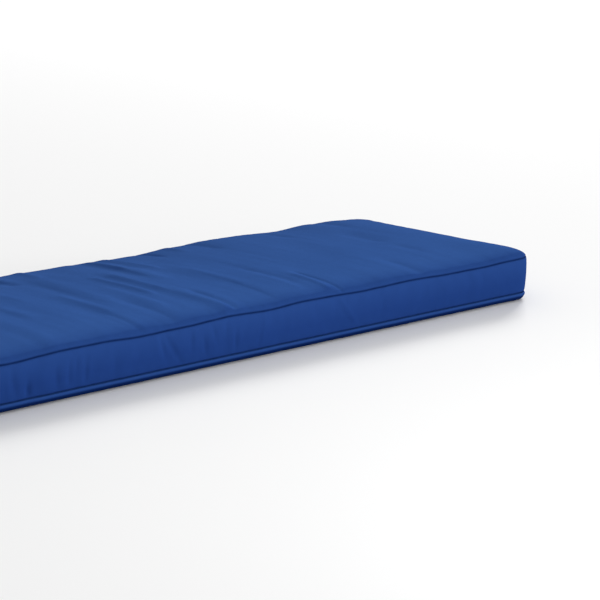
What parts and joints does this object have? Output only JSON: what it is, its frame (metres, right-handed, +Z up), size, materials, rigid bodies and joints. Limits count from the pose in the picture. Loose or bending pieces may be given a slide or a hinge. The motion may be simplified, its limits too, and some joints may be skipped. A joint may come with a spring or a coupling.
{
  "type": "bench cushion",
  "caption": "Long box-edge cushion for a garden bench, with a crowned top panel, a boxing band between two plain seams and a flat bottom panel, in plain blue woven cloth.",
  "frame": {"origin": "middle of the resting face, on the surface that the cushion lies on", "axes": "+X along the length, to the right seen from the front edge; +Y from the front edge to the back edge; +Z up out of the crowned face"},
  "size_m": [1.3982, 0.4066, 0.0956],
  "materials": {
    "cover_cloth": "plain woven canvas in royal blue, matt"
  },
  "bodies": {
    "root": {"cushion_body": "cover_cloth", "boxing": "cover_cloth", "bottom_panel": "cover_cloth"}
  },
  "joints": []
}
